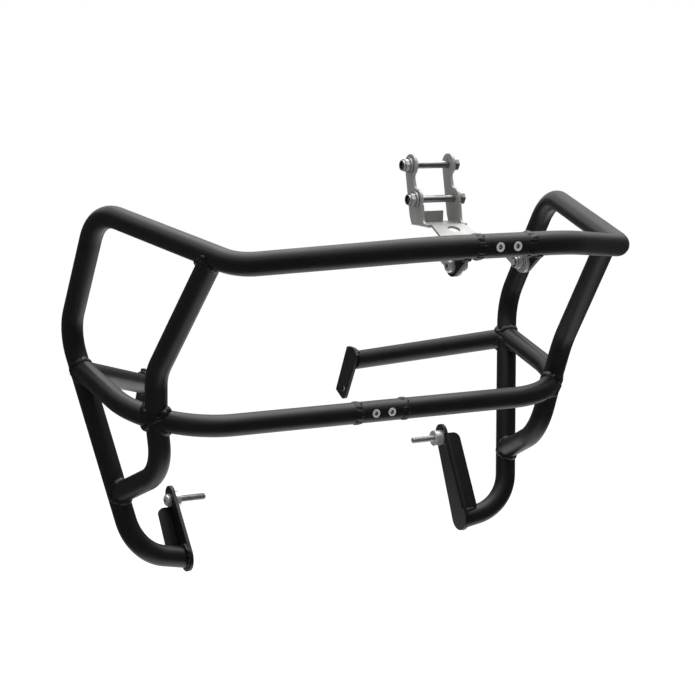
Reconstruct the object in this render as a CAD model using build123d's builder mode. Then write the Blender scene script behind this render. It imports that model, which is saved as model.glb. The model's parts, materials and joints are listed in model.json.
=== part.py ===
# Motorcycle crash bars: two bent-tube halves bolted together on the centre line.
# X is the width of the motorcycle, Y runs to its rear, Z is up, all in millimetres.
# Raw positions are measured from the middle of the upper coupling and moved by place().
import math
import os

from build123d import *

os.makedirs("parts", exist_ok=True)

# Frame: the raw position that becomes the origin of the finished part
mid_y = 327.64
floor_z = -425.57

# Tube stock
tube_od = 25.4
tube_wall = 2.5
tube_r = tube_od / 2
bore_r = tube_r - tube_wall
weld_leg = 3.0
weld_big_r = tube_r + weld_leg
cope_back = 3.0

# Main tube of the left half, corner by corner, and the bend radius at each corner
coupling_half = 31.0
main_sweep = (-79.2, 0.0, 0.0)
main_front = (-241.5, 121.4, -24.0)
main_top = (-304.2, 356.7, 12.4)
main_knee = (-305.4, 450.7, -138.3)
main_low = (-256.9, 367.0, -391.8)
main_foot = (-190.1, 379.6, -408.3)
main_bends = (97.0, 59.0, 58.5, 62.0, 57.0)
foot_overrun = 1.3
foot_clear = 80.0

# Lower rail, straight across the front and bent back on to the main tube
rail_y = 249.7
rail_z = -221.0
rail_corner_x = -282.7
rail_bend = 104.0
rail_joint_z = -180.1

# Front brace and lower loop, both landing on the bend of the lower rail
brace_joint_y = 159.0
brace_kink = (-270.1, 270.1, -160.3)
brace_bend = 65.0
rail_share = 0.603
loop_kink = (-253.8, 293.2, -278.1)
loop_bend = 61.7
loop_joint_z = -324.2

# Rear arms and their end plates
arm_joint_z = -183.8
arm_end_left = (-140.9, 630.8, -246.9)
arm_end_right = (170.0, 630.6, -238.7)
plate_t = 4.0
# outline of the end plate in Y and Z from the end of the arm, with the radius of each corner
arm_plate_top_rear = (8.3, 19.7)
arm_plate_low_rear = (39.5, -47.4)
arm_plate_low_front = (14.8, -60.4)
arm_plate_side_front = (-21.2, 9.7)
arm_plate_top_front = (-11.6, 19.7)
arm_plate_radii = (5.0, 2.0, 9.0, 4.0, 6.0)
arm_hole_at = (17.9, -42.3)

# Engine brackets: folded plates on the feet of the main tubes
web_t = 4.0
web_foot_r = 17.0
web_lobe_r = 12.3
fold_out = 6.0
fold_in = 2.0
left_web_x = -189.0
left_bolt = (428.0, -349.8)
left_lobe = (428.8, -344.8)
left_foot_lift = 0.0
left_flange = (18.5, 14.0, 69.0, 7.0)
right_web_x = 197.5
right_bolt = (428.5, -308.5)
right_lobe = (429.0, -303.2)
right_foot_lift = 3.0
right_flange = (20.5, 8.0, 109.0, 9.0)

# Half-lap couplings
lap_end = 23.0
lap_lean = 20.0
lap_gap = 0.1
spigot_r = bore_r - 0.15
spigot_len = 16.0
screw_pitch = 21.0
screw_r = 3.0
screw_head_r = 5.0
screw_head_h = 6.0
screw_sink = 0.5
socket_r = 2.9
socket_deep = 3.2
counterbore_fit = 0.9
counterbore_r = screw_head_r + counterbore_fit
screw_fit = 0.1
screw_tip_y = 9.5
ring_w = 6.0
ring_h = 1.7
ring_ease = 1.2

# Lugs under the upper bar
lug_in = 42.0
lug_t = 4.0
lug_r = 11.5
lug_bolt = (24.0, -21.5)
lug_front = (-3.0, -10.5)
lug_front_r = 3.0
lug_rear = (10.5, -3.0)
lug_rear_r = 3.0

# Stainless head bracket
sheet_t = 3.0
ear_in = 22.0
ear_up_bolt = (147.5, 71.5)
ear_low_bolt = (133.7, 35.8)
ear_up_r = 11.8
ear_low_r = 11.0
ear_back_top = (159.0, 69.0)
ear_back_low = (146.8, 17.0)
ear_heel = (143.5, 10.0)
floor_top = 10.3
ankle_up = 0.3
ear_sole = (139.0, floor_top - sheet_t)
ear_toe = (109.0, floor_top - sheet_t)
ear_toe_up = (109.0, floor_top + ankle_up)
ear_ankle = (118.7, floor_top + ankle_up)
ear_front_up = (121.9, 31.0)
waist_low = (135.5, 42.7)
waist_up = (144.0, 65.4)
waist_turns = ((142.3, 60.9, 5.0), (136.9, 46.3, 5.0), (*ear_ankle, 7.0))
fold_skin = 0.1
ear_fold_r = sheet_t - fold_skin
floor_back = 146.0
floor_front = 110.0
floor_lap = 1.0
floor_half = ear_in + floor_lap
tongue_slope = 21.5
tongue_mid = 1.8
tongue_root_y = 113.0
tongue_root_half = 20.0
tongue_low_half = 26.5
tongue_hole_r = 6.8
tongue_hole_x = 3.0
tongue_hole_y = 100.0
tongue_end_y = 48.5
wing_back_y = 62.0
flange_in = lug_in - sheet_t
flange_tail_y = 56.0
flange_tail_r = 4.0
tab_left = -19.0
tab_right = 15.0
tab_top = 21.3
tab_front = 142.5
pin_hole_r = 1.0
pin_hole_gap = 1.6

# Fasteners, metric eight unless said otherwise
bolt_r = 4.0
thread_cut = 0.4
thread_r = bolt_r - thread_cut
bolt_fit = 0.1
hole_fit = 0.25
bolt_hole_r = bolt_r + hole_fit
arm_hole_r = bolt_r + hole_fit
pin_hole_up = bolt_r + bolt_fit + pin_hole_gap
hex_af = 13.0
head_h = 5.3
nut_h = 6.8
flange_disc_r = 8.6
flange_disc_h = 1.4
washer_rim = 4.0
washer_r = bolt_r + washer_rim
washer_t = 1.6
engine_washer_r = 8.4
spacer_r = 10.0
left_spacer_len = 8.0
right_spacer_len = 11.0
left_stud_len = 34.5
right_stud_len = 31.5
hex_ease = 0.45
button_r = 7.2
button_h = 4.4
button_dome = 3.4
button_socket_r = 2.9
button_socket_deep = 2.6
insert_wall = 0.8
insert_r = bolt_r + bolt_fit + insert_wall
insert_t = 1.5
insert_bore_r = thread_r + bolt_fit
collar_wall = 0.8
nut_collar_r = insert_r + collar_wall
nut_collar_h = 2.4
clamp_tip_short = 1.4
lug_tip_out = 1.2


def place(x, y, z):
    # raw position to finished frame
    return (x, y - mid_y, z - floor_z)


def mirrored(point, side):
    # side is -1 for the left half as listed and 1 for the right half
    return (-side * point[0], point[1], point[2])


def placed(points):
    return [place(*point) for point in points]


def between(start, end, axis, value):
    # the point of the line start-end whose given coordinate has the given value
    share = (value - start[axis]) / (end[axis] - start[axis])
    return tuple(s + share * (e - s) for s, e in zip(start, end))


def step_from(start, toward, distance):
    # the point a given distance from start in the direction of toward
    gap = math.dist(start, toward)
    return tuple(s + (t - s) * distance / gap for s, t in zip(start, toward))


def rod(points, bends, radius):
    # a solid round bar along straight runs joined by tangent bends
    with BuildPart() as bar:
        with BuildLine() as run:
            if bends:
                FilletPolyline(*placed(points), radius=bends)
            else:
                Line(*placed(points))
        with BuildSketch(Plane(origin=run.line @ 0, z_dir=run.line % 0)):
            Circle(radius)
        sweep(path=run.wires()[0])
    return bar.part


def across(x, y, z):
    # plane square to X at a raw position, its own x along +Y and its own y along +Z
    return Plane(origin=place(x, y, z), x_dir=(0, 1, 0), z_dir=(1, 0, 0))


def sideways(x, y, z, direction):
    # plane square to X whose normal points to +X or -X
    return Plane(origin=place(x, y, z), x_dir=(0, direction, 0), z_dir=(direction, 0, 0))


def ring_bead(x, y, z):
    # a low bead round the tube where it is welded to a coupling
    with BuildPart() as bead:
        with BuildSketch(across(x - ring_w / 2, y, z)):
            Circle(tube_r + ring_h)
        extrude(amount=ring_w)
        chamfer(bead.edges(), length=ring_ease)
        with BuildSketch(across(x - ring_w, y, z)):
            Circle(tube_r)
        extrude(amount=2 * ring_w, mode=Mode.SUBTRACT)
    return bead.part


# Skeleton of both halves
skeleton = {}
for side in (-1, 1):
    main_points = [
        (-coupling_half, 0.0, 0.0),
        main_sweep,
        main_front,
        main_top,
        main_knee,
        main_low,
        step_from(main_low, main_foot, foot_overrun * math.dist(main_low, main_foot)),
    ]
    rail_joint = between(main_knee, main_low, 2, rail_joint_z)
    rail_corner = (rail_corner_x, rail_y, rail_z)
    rail_points = [
        (-coupling_half, rail_y, rail_z),
        rail_corner,
        step_from(rail_joint, rail_corner, cope_back),
    ]
    skeleton[side] = {
        "main": [mirrored(point, side) for point in main_points],
        "rail": [mirrored(point, side) for point in rail_points],
    }
    with BuildLine() as rail_line:
        FilletPolyline(*skeleton[side]["rail"], radius=rail_bend)
    landing = tuple(rail_line.line @ rail_share)
    brace_top = mirrored(between(main_front, main_top, 1, brace_joint_y), side)
    brace_mid = mirrored(brace_kink, side)
    loop_mid = mirrored(loop_kink, side)
    loop_foot = mirrored(between(main_knee, main_low, 2, loop_joint_z), side)
    skeleton[side]["brace"] = [
        step_from(brace_top, brace_mid, cope_back),
        brace_mid,
        step_from(landing, brace_mid, cope_back),
    ]
    skeleton[side]["loop"] = [
        step_from(landing, loop_mid, cope_back),
        loop_mid,
        step_from(loop_foot, loop_mid, cope_back),
    ]
    arm_root = mirrored(between(main_knee, main_low, 2, arm_joint_z), side)
    arm_end = arm_end_left if side < 0 else arm_end_right
    skeleton[side]["arm"] = [
        step_from(arm_root, arm_end, cope_back),
        step_from(arm_end, arm_root, -2 * tube_od),
    ]

bend_lists = {
    "main": list(main_bends),
    "rail": [rail_bend],
    "brace": [brace_bend],
    "loop": [loop_bend],
    "arm": [],
}

for side, hand in ((-1, "left"), (1, "right")):
    runs = skeleton[side]
    solids = {name: rod(points, bend_lists[name], tube_r) for name, points in runs.items()}
    bores = {name: rod(points, bend_lists[name], bore_r) for name, points in runs.items()}
    bigs = {name: rod(points, bend_lists[name], weld_big_r) for name, points in runs.items()}
    outward = side
    web_x = left_web_x if side < 0 else right_web_x
    arm_at = arm_end_left if side < 0 else arm_end_right
    arm_cut = Plane(origin=place(arm_at[0], 0, 0), z_dir=(outward, 0, 0))
    with BuildPart() as outer_main:
        add(solids["main"])
        with BuildSketch(sideways(web_x, main_foot[1], main_foot[2], -outward)):
            Rectangle(foot_clear, foot_clear)
        extrude(amount=foot_clear, mode=Mode.SUBTRACT)

    # Main tube: one long bend sequence from the coupling to the foot
    with BuildPart() as main_tube:
        add(outer_main.part)
        add(bores["main"], mode=Mode.SUBTRACT)
    main_tube.part.label = f"main_tube_{hand}"

    # Lower rail, coped on the main tube
    with BuildPart() as lower_rail:
        add(solids["rail"])
        add(bores["rail"], mode=Mode.SUBTRACT)
        add(solids["main"], mode=Mode.SUBTRACT)
    lower_rail.part.label = f"lower_rail_{hand}"

    # Front brace, coped at both ends
    with BuildPart() as brace:
        add(solids["brace"])
        add(bores["brace"], mode=Mode.SUBTRACT)
        add(solids["main"], mode=Mode.SUBTRACT)
        add(solids["rail"], mode=Mode.SUBTRACT)
    brace.part.label = f"front_brace_{hand}"

    # Lower loop, coped at both ends
    with BuildPart() as lower_loop:
        add(solids["loop"])
        add(bores["loop"], mode=Mode.SUBTRACT)
        add(solids["main"], mode=Mode.SUBTRACT)
        add(solids["rail"], mode=Mode.SUBTRACT)
        add(solids["brace"], mode=Mode.SUBTRACT)
    lower_loop.part.label = f"lower_loop_{hand}"

    # Rear arm, coped on the main tube and cut square to X at its plate
    with BuildPart() as rear_arm:
        add(solids["arm"])
        add(bores["arm"], mode=Mode.SUBTRACT)
        add(solids["main"], mode=Mode.SUBTRACT)
        add(solids["rail"], mode=Mode.SUBTRACT)
        split(bisect_by=arm_cut, keep=Keep.TOP)
    rear_arm.part.label = f"rear_arm_{hand}"

    # Arm end plate: top edge level, sides leaning back, one lower corner rounded, one fixing hole
    plate_plane = across(*arm_at)
    plate_corners = (
        arm_plate_top_rear,
        arm_plate_low_rear,
        arm_plate_low_front,
        arm_plate_side_front,
        arm_plate_top_front,
    )
    with BuildPart() as arm_plate:
        with BuildSketch(plate_plane) as outline:
            with BuildLine():
                Polyline(*plate_corners, close=True)
            make_face()
            for corner, radius in zip(plate_corners, arm_plate_radii):
                fillet(outline.vertices().sort_by_distance((*corner, 0))[0], radius=radius)
            with Locations(arm_hole_at):
                Circle(arm_hole_r, mode=Mode.SUBTRACT)
        extrude(amount=-outward * plate_t)
    arm_plate.part.label = f"arm_plate_{hand}"

    # Engine bracket: a tapered web square to X, folded outward along one edge, with the bolt below its lobe
    foot_at = between(mirrored(main_low, side), mirrored(main_foot, side), 0, web_x)
    foot_lift = left_foot_lift if side < 0 else right_foot_lift
    foot_y = foot_at[1]
    foot_z = foot_at[2] + foot_lift
    bolt_at = left_bolt if side < 0 else right_bolt
    lobe_at = left_lobe if side < 0 else right_lobe
    flange_out, flange_from, flange_to, flange_corner = left_flange if side < 0 else right_flange
    reach = math.dist((foot_y, foot_z), lobe_at)
    tilt_y = (lobe_at[0] - foot_y) / reach
    tilt_z = (lobe_at[1] - foot_z) / reach
    inner_x = web_x - outward * web_t
    web_plane = Plane(
        origin=place(inner_x, foot_y, foot_z),
        x_dir=(0, tilt_z * outward, -tilt_y * outward),
        z_dir=(outward, 0, 0),
    )
    # the left fold is on the rear edge and the right fold on the front edge, along the taper
    taper = math.asin((web_foot_r - web_lobe_r) / reach)
    fold_dir = web_plane.x_dir * math.cos(taper) - web_plane.y_dir * math.sin(taper)
    fold_plane = Plane(
        origin=web_plane.from_local_coords((-web_foot_r * math.cos(taper), web_foot_r * math.sin(taper), 0)),
        x_dir=fold_dir,
        z_dir=web_plane.z_dir,
    )
    profile_plane = Plane(
        origin=fold_plane.from_local_coords((0, flange_from, 0)),
        x_dir=fold_plane.x_dir,
        z_dir=fold_plane.y_dir,
    )
    with BuildPart() as bracket:
        with BuildSketch(web_plane):
            Circle(web_foot_r)
            with Locations((0, reach)):
                Circle(web_lobe_r)
            make_hull()
        extrude(amount=web_t)
        with BuildSketch(fold_plane):
            with Locations((fold_out / 2, (flange_from + flange_to) / 2)):
                Rectangle(fold_out, flange_to - flange_from)
        extrude(amount=web_t, mode=Mode.SUBTRACT)
        with BuildSketch(profile_plane) as profile:
            with BuildLine():
                Polyline(
                    (fold_out, 0),
                    (0, 0),
                    (0, -flange_out),
                    (web_t, -flange_out),
                    (web_t, -web_t),
                    (fold_out, -web_t),
                    close=True,
                )
            make_face()
            fold_outer = profile.vertices().sort_by_distance((0, 0, 0))[0]
            fillet(fold_outer, radius=fold_out - fold_in / 2)
            fold_inner = profile.vertices().sort_by_distance((web_t, -web_t, 0))[0]
            fillet(fold_inner, radius=fold_in / 2)
        extrude(amount=flange_to - flange_from)
        corner_at = fold_plane.from_local_coords((web_t / 2, flange_to, flange_out))
        corner_edges = bracket.edges().filter_by(GeomType.LINE).sort_by_distance(corner_at)[:6]
        corner_edges = [edge for edge in corner_edges if abs(edge.length - web_t) < fold_in]
        corner_edges = sorted(corner_edges, key=lambda edge: (edge.center() - Vector(*corner_at)).length)
        fillet(corner_edges[0], radius=flange_corner)
        with BuildSketch(across(inner_x - outward * web_t, *bolt_at)):
            Circle(bolt_hole_r)
        extrude(amount=outward * 3 * web_t, mode=Mode.SUBTRACT)
        add(outer_main.part, mode=Mode.SUBTRACT)
    bracket.part.label = f"engine_bracket_{hand}"

    # Lug plate on the underside of the upper bar, just outside the coupling
    lug_x = outward * lug_in
    with BuildPart() as lug:
        with BuildSketch(across(lug_x, 0, 0)):
            with Locations(lug_bolt):
                Circle(lug_r)
            with Locations(lug_front):
                Circle(lug_front_r)
            with Locations(lug_rear):
                Circle(lug_rear_r)
            make_hull()
            with Locations(lug_bolt):
                Circle(bolt_hole_r, mode=Mode.SUBTRACT)
        extrude(amount=outward * lug_t)
        add(solids["main"], mode=Mode.SUBTRACT)
    lug.part.label = f"lug_{hand}"

    # Weld beads: the corner left between two tubes grown by the weld leg
    joints = (
        ("main", "rail"),
        ("main", "brace"),
        ("rail", "brace"),
        ("main", "loop"),
        ("rail", "loop"),
        ("main", "arm"),
    )
    with BuildPart() as welds:
        for first, second in joints:
            add(bigs[first] & bigs[second])
        with BuildSketch(across(web_x, foot_y, foot_z)):
            Circle(web_foot_r)
        foot_slab = extrude(amount=outward * weld_leg, mode=Mode.PRIVATE)
        add(foot_slab & bigs["main"])
        with BuildSketch(plate_plane):
            with BuildLine():
                Polyline(*plate_corners, close=True)
            make_face()
        arm_slab = extrude(amount=outward * weld_leg, mode=Mode.PRIVATE)
        add(arm_slab & bigs["arm"])
        for ring_y, ring_z in ((0, 0), (rail_y, rail_z)):
            add(ring_bead(outward * coupling_half, ring_y, ring_z))
        for name in runs:
            add(solids[name], mode=Mode.SUBTRACT)
        add(bracket.part, mode=Mode.SUBTRACT)
    welds.part.label = f"weld_beads_{hand}"

    for piece in (main_tube, lower_rail, brace, lower_loop, rear_arm, arm_plate, bracket, lug, welds):
        export_step(piece.part, f"parts/{piece.part.label}.step")

# Half-lap couplings: the left half carries the front lap, the right half the rear lap
for level, cy, cz in (("upper", 0.0, 0.0), ("lower", rail_y, rail_z)):
    for side, hand in ((-1, "left"), (1, "right")):
        lap_side = -1 if side < 0 else 1
        with BuildPart() as coupling:
            with BuildSketch(sideways(side * coupling_half, cy, cz, -side)):
                Circle(tube_r)
            extrude(amount=2 * coupling_half)
            # what stays: everything on the own side of the own step, plus the own lap
            slant = math.tan(math.radians(lap_lean)) * tube_od
            own_end = side * (lap_end + lap_gap)
            far_end = -side * (lap_end - lap_gap)
            with BuildSketch(Plane(origin=place(0, cy, cz), x_dir=(1, 0, 0), z_dir=(0, -1, 0))):
                with BuildLine():
                    Polyline(
                        (own_end - slant, -tube_od),
                        (own_end + slant, tube_od),
                        (-side * 2 * coupling_half, tube_od),
                        (-side * 2 * coupling_half, -tube_od),
                        close=True,
                    )
                make_face()
            extrude(amount=-lap_side * tube_od, mode=Mode.SUBTRACT)
            with BuildSketch(Plane(origin=place(0, cy, cz), x_dir=(1, 0, 0), z_dir=(0, -1, 0))):
                with BuildLine():
                    Polyline(
                        (far_end - slant, -tube_od),
                        (far_end + slant, tube_od),
                        (-side * 2 * coupling_half, tube_od),
                        (-side * 2 * coupling_half, -tube_od),
                        close=True,
                    )
                make_face()
            extrude(amount=tube_od, both=True, mode=Mode.SUBTRACT)
            with BuildSketch(sideways(side * coupling_half, cy, cz, side)):
                Circle(spigot_r)
            extrude(amount=spigot_len)
            with BuildSketch(Plane(origin=place(0, cy - tube_od, cz), x_dir=(1, 0, 0), z_dir=(0, -1, 0))):
                with Locations((-screw_pitch / 2, 0), (screw_pitch / 2, 0)):
                    Circle(screw_r + screw_fit)
            extrude(amount=-2 * tube_od, mode=Mode.SUBTRACT)
            seat_y = cy - tube_r + screw_sink + screw_head_h
            with BuildSketch(Plane(origin=place(0, seat_y, cz), x_dir=(1, 0, 0), z_dir=(0, -1, 0))):
                with Locations((-screw_pitch / 2, 0), (screw_pitch / 2, 0)):
                    Circle(counterbore_r)
            extrude(amount=tube_od, mode=Mode.SUBTRACT)
        coupling.part.label = f"{level}_coupling_{hand}"
        export_step(coupling.part, f"parts/{coupling.part.label}.step")

# Coupling screws: socket-head cap screws, two in each coupling
with BuildPart() as coupling_screws:
    for cy, cz in ((0.0, 0.0), (rail_y, rail_z)):
        head_y = cy - tube_r + screw_sink
        with BuildSketch(Plane(origin=place(0, head_y, cz), x_dir=(1, 0, 0), z_dir=(0, 1, 0))):
            with Locations((-screw_pitch / 2, 0), (screw_pitch / 2, 0)):
                Circle(screw_head_r)
        extrude(amount=screw_head_h)
        with BuildSketch(Plane(origin=place(0, head_y, cz), x_dir=(1, 0, 0), z_dir=(0, 1, 0))):
            with Locations((-screw_pitch / 2, 0), (screw_pitch / 2, 0)):
                Circle(screw_r)
        extrude(amount=screw_tip_y + tube_r - screw_sink)
        with BuildSketch(Plane(origin=place(0, head_y, cz), x_dir=(1, 0, 0), z_dir=(0, 1, 0))):
            with Locations((-screw_pitch / 2, 0), (screw_pitch / 2, 0)):
                RegularPolygon(socket_r, 6)
        extrude(amount=socket_deep, mode=Mode.SUBTRACT)
coupling_screws.part.label = "coupling_screws"
export_step(coupling_screws.part, "parts/coupling_screws.step")

# Head bracket: floor and sloping tongue, two ears, a rear tab and two flanges for the lugs
slope = math.tan(math.radians(tongue_slope))
tongue_rise = sheet_t / math.cos(math.radians(tongue_slope))
tongue_end_z = floor_top - slope * (floor_front - tongue_end_y)
flange_tail_z = floor_top - slope * (floor_front - flange_tail_y) - flange_tail_r
hole_z = floor_top - slope * (floor_front - tongue_hole_y)
lean = math.radians(tongue_slope)
tongue_normal = (0, -math.sin(lean), math.cos(lean))
wing_half = flange_in + sheet_t / 2
with BuildPart() as head_bracket:
    # sheet bent at the floor's front edge, then trimmed to its plan
    with BuildSketch(across(-wing_half, 0, 0)):
        with BuildLine():
            Polyline(
                (floor_back, floor_top),
                (floor_front, floor_top),
                (tongue_end_y, tongue_end_z),
                (tongue_end_y, tongue_end_z - tongue_rise),
                (floor_front, floor_top - sheet_t),
                (floor_back, floor_top - sheet_t),
                close=True,
            )
        make_face()
    extrude(amount=2 * wing_half)
    with BuildSketch(Plane(origin=place(0, 0, 0), x_dir=(1, 0, 0), z_dir=(0, 0, 1))):
        with BuildLine():
            Polyline(
                (-floor_half, floor_back),
                (-floor_half, tongue_root_y),
                (tongue_mid - tongue_root_half, tongue_root_y),
                (tongue_mid - tongue_low_half, wing_back_y),
                (-wing_half, wing_back_y),
                (-wing_half, tongue_end_y),
                (wing_half, tongue_end_y),
                (wing_half, wing_back_y),
                (tongue_mid + tongue_low_half, wing_back_y),
                (tongue_mid + tongue_root_half, tongue_root_y),
                (floor_half, tongue_root_y),
                (floor_half, floor_back),
                close=True,
            )
        make_face()
    extrude(amount=tube_od * 2, both=True, mode=Mode.INTERSECT)
    for direction in (-1, 1):
        with BuildSketch(across(direction * ear_in, 0, 0)) as ear:
            with BuildLine():
                Polyline(
                    ear_back_top,
                    ear_back_low,
                    ear_heel,
                    ear_sole,
                    ear_toe,
                    ear_toe_up,
                    ear_ankle,
                    ear_front_up,
                    ear_low_bolt,
                    waist_low,
                    waist_up,
                    ear_up_bolt,
                    close=True,
                )
            make_face()
            with Locations(ear_up_bolt):
                Circle(ear_up_r)
            with Locations(ear_low_bolt):
                Circle(ear_low_r)
            for turn_y, turn_z, turn_r in waist_turns:
                fillet(ear.vertices().sort_by_distance((turn_y, turn_z, 0))[0], radius=turn_r)
            with Locations(ear_up_bolt, ear_low_bolt):
                Circle(bolt_r + bolt_fit, mode=Mode.SUBTRACT)
            if direction > 0:
                for bolt_y, bolt_z in (ear_up_bolt, ear_low_bolt):
                    with Locations((bolt_y, bolt_z + pin_hole_up)):
                        Circle(pin_hole_r, mode=Mode.SUBTRACT)
        extrude(amount=direction * sheet_t)
        fold_at = place(direction * (ear_in + sheet_t), (ear_sole[0] + ear_toe[0]) / 2, ear_sole[1])
        fold_edge = head_bracket.edges().filter_by(Axis.Y).sort_by_distance(fold_at)[0]
        fillet(fold_edge, radius=ear_fold_r)
        with BuildSketch(across(direction * flange_in, 0, 0)):
            with Locations(lug_bolt):
                Circle(lug_r)
            with Locations((flange_tail_y, flange_tail_z)):
                Circle(flange_tail_r)
            make_hull()
            with Locations(lug_bolt):
                Circle(bolt_r + bolt_fit, mode=Mode.SUBTRACT)
        extrude(amount=direction * sheet_t)
    with BuildSketch(Plane(origin=place(0, tab_front, 0), x_dir=(1, 0, 0), z_dir=(0, 1, 0))):
        with Locations(((tab_left + tab_right) / 2, -(floor_top + tab_top) / 2)):
            Rectangle(tab_right - tab_left, tab_top - floor_top + 1)
    extrude(amount=sheet_t)
    with BuildSketch(Plane(origin=place(tongue_hole_x, tongue_hole_y, hole_z), z_dir=tongue_normal)):
        Circle(tongue_hole_r)
    extrude(amount=2 * sheet_t, both=True, mode=Mode.SUBTRACT)
head_bracket.part.label = "head_bracket"
export_step(head_bracket.part, "parts/head_bracket.step")


def shank(x_from, x_to, axis, radius):
    # a round bar along X between two raw positions
    direction = 1 if x_to > x_from else -1
    with BuildPart() as bar:
        with BuildSketch(sideways(x_from, axis[0], axis[1], direction)):
            Circle(radius)
        extrude(amount=abs(x_to - x_from))
    return bar.part


def hexagon(x_from, x_to, axis, across_flats):
    # a hexagon bar along X with its corners eased
    direction = 1 if x_to > x_from else -1
    with BuildPart() as bar:
        with BuildSketch(sideways(x_from, axis[0], axis[1], direction)):
            RegularPolygon(across_flats / 2, 6, major_radius=False)
        extrude(amount=abs(x_to - x_from))
        with BuildSketch(sideways(x_from, axis[0], axis[1], direction)):
            Circle(across_flats / 2 + hex_ease)
        extrude(amount=abs(x_to - x_from), mode=Mode.INTERSECT)
    return bar.part


def flanged_bolt(seat_x, step_x, tip_x, axis):
    # hexagon head with a round flange on the seat, plain shank to the step, thread to the tip
    away = -1 if tip_x > seat_x else 1
    return (
        shank(seat_x, seat_x + away * flange_disc_h, axis, flange_disc_r)
        + hexagon(seat_x, seat_x + away * (flange_disc_h + head_h), axis, hex_af)
        + shank(seat_x, step_x, axis, bolt_r)
        + shank(seat_x, tip_x, axis, thread_r)
    )


def button_bolt(seat_x, step_x, tip_x, axis):
    # low domed head with a hexagon socket, plain shank to the step, thread to the tip
    away = -1 if tip_x > seat_x else 1
    with BuildPart() as bolt:
        with BuildSketch(sideways(seat_x, axis[0], axis[1], away)):
            Circle(button_r)
        extrude(amount=button_h)
        fillet(bolt.edges().sort_by(Axis.X)[-1 if away > 0 else 0], radius=button_dome)
        with BuildSketch(sideways(seat_x + away * button_h, axis[0], axis[1], away)):
            RegularPolygon(button_socket_r, 6)
        extrude(amount=-button_socket_deep, mode=Mode.SUBTRACT)
        with BuildSketch(sideways(seat_x, axis[0], axis[1], -away)):
            Circle(bolt_r)
        extrude(amount=abs(step_x - seat_x))
        with BuildSketch(sideways(seat_x, axis[0], axis[1], -away)):
            Circle(thread_r)
        extrude(amount=abs(tip_x - seat_x))
    return bolt.part


def lock_nut(seat_x, away, axis):
    # hexagon nut with a round flange on the seat and a collar that holds a nylon ring
    collar_x = seat_x + away * nut_h
    end_x = collar_x + away * nut_collar_h
    body = shank(seat_x, seat_x + away * flange_disc_h, axis, flange_disc_r)
    body = body + hexagon(seat_x, collar_x, axis, hex_af)
    body = body + shank(collar_x, end_x, axis, nut_collar_r)
    body = body - shank(end_x - away * insert_t, end_x, axis, insert_r)
    return body - shank(seat_x - away, end_x + away, axis, bolt_r + bolt_fit)


def nylon_ring(seat_x, away, axis):
    # the ring in the collar of a lock nut
    end_x = seat_x + away * (nut_h + nut_collar_h)
    ring = shank(end_x - away * insert_t, end_x, axis, insert_r)
    return ring - shank(end_x - away * 2 * insert_t, end_x + away, axis, insert_bore_r)


def washer(seat_x, away, axis, radius):
    body = shank(seat_x, seat_x + away * washer_t, axis, radius)
    return body - shank(seat_x - away, seat_x + away * 2 * washer_t, axis, bolt_r + bolt_fit)


# Engine bolts stand inward from the brackets, each through a round collar
left_spacer_end = left_web_x + web_t + left_spacer_len
right_spacer_end = right_web_x - web_t - right_spacer_len
left_stud_tip = left_spacer_end + left_stud_len
right_stud_tip = right_spacer_end - right_stud_len
with BuildPart() as engine_bolts:
    add(button_bolt(left_web_x - washer_t, left_spacer_end, left_stud_tip, left_bolt))
    add(button_bolt(right_web_x + washer_t, right_spacer_end, right_stud_tip, right_bolt))
engine_bolts.part.label = "engine_bolts"
with BuildPart() as engine_washers:
    add(washer(left_web_x, -1, left_bolt, engine_washer_r))
    add(washer(right_web_x, 1, right_bolt, engine_washer_r))
engine_washers.part.label = "engine_washers"
with BuildPart() as engine_spacers:
    add(shank(left_web_x + web_t, left_spacer_end, left_bolt, spacer_r))
    add(shank(right_web_x - web_t, right_spacer_end, right_bolt, spacer_r))
    for web_x, bolt_at in ((left_web_x, left_bolt), (right_web_x, right_bolt)):
        add(shank(web_x, 0, bolt_at, bolt_r + bolt_fit), mode=Mode.SUBTRACT)
engine_spacers.part.label = "engine_spacers"

# Lug bolts: heads outboard, nuts inboard on the flanges of the head bracket
lug_out = lug_in + lug_t
lug_tip_in = flange_in - nut_h - nut_collar_h - lug_tip_out
with BuildPart() as lug_bolts:
    for direction in (-1, 1):
        seat_x = direction * (lug_out + washer_t)
        add(button_bolt(seat_x, direction * flange_in, direction * lug_tip_in, lug_bolt))
lug_bolts.part.label = "lug_bolts"
with BuildPart() as lug_washers:
    for direction in (-1, 1):
        add(washer(direction * lug_out, direction, lug_bolt, washer_r))
lug_washers.part.label = "lug_washers"
with BuildPart() as lug_nuts:
    for direction in (-1, 1):
        add(lock_nut(direction * flange_in, -direction, lug_bolt))
lug_nuts.part.label = "lug_nuts"

# Clamp bolts through both ears: heads on the right, nuts on the left
ear_out = ear_in + sheet_t
nut_seat = -ear_out - washer_t
clamp_tip = ear_out + washer_t + nut_h + nut_collar_h - clamp_tip_short
with BuildPart() as clamp_bolts:
    for axis in (ear_up_bolt, ear_low_bolt):
        add(flanged_bolt(ear_out + washer_t, -ear_in, -clamp_tip, axis))
clamp_bolts.part.label = "clamp_bolts"
with BuildPart() as clamp_washers:
    for axis in (ear_up_bolt, ear_low_bolt):
        for direction in (-1, 1):
            add(washer(direction * ear_out, direction, axis, washer_r))
clamp_washers.part.label = "clamp_washers"
with BuildPart() as clamp_nuts:
    for axis in (ear_up_bolt, ear_low_bolt):
        add(lock_nut(nut_seat, -1, axis))
clamp_nuts.part.label = "clamp_nuts"
with BuildPart() as nylon_rings:
    for direction in (-1, 1):
        add(nylon_ring(direction * flange_in, -direction, lug_bolt))
    for axis in (ear_up_bolt, ear_low_bolt):
        add(nylon_ring(nut_seat, -1, axis))
nylon_rings.part.label = "nylon_rings"

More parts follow.
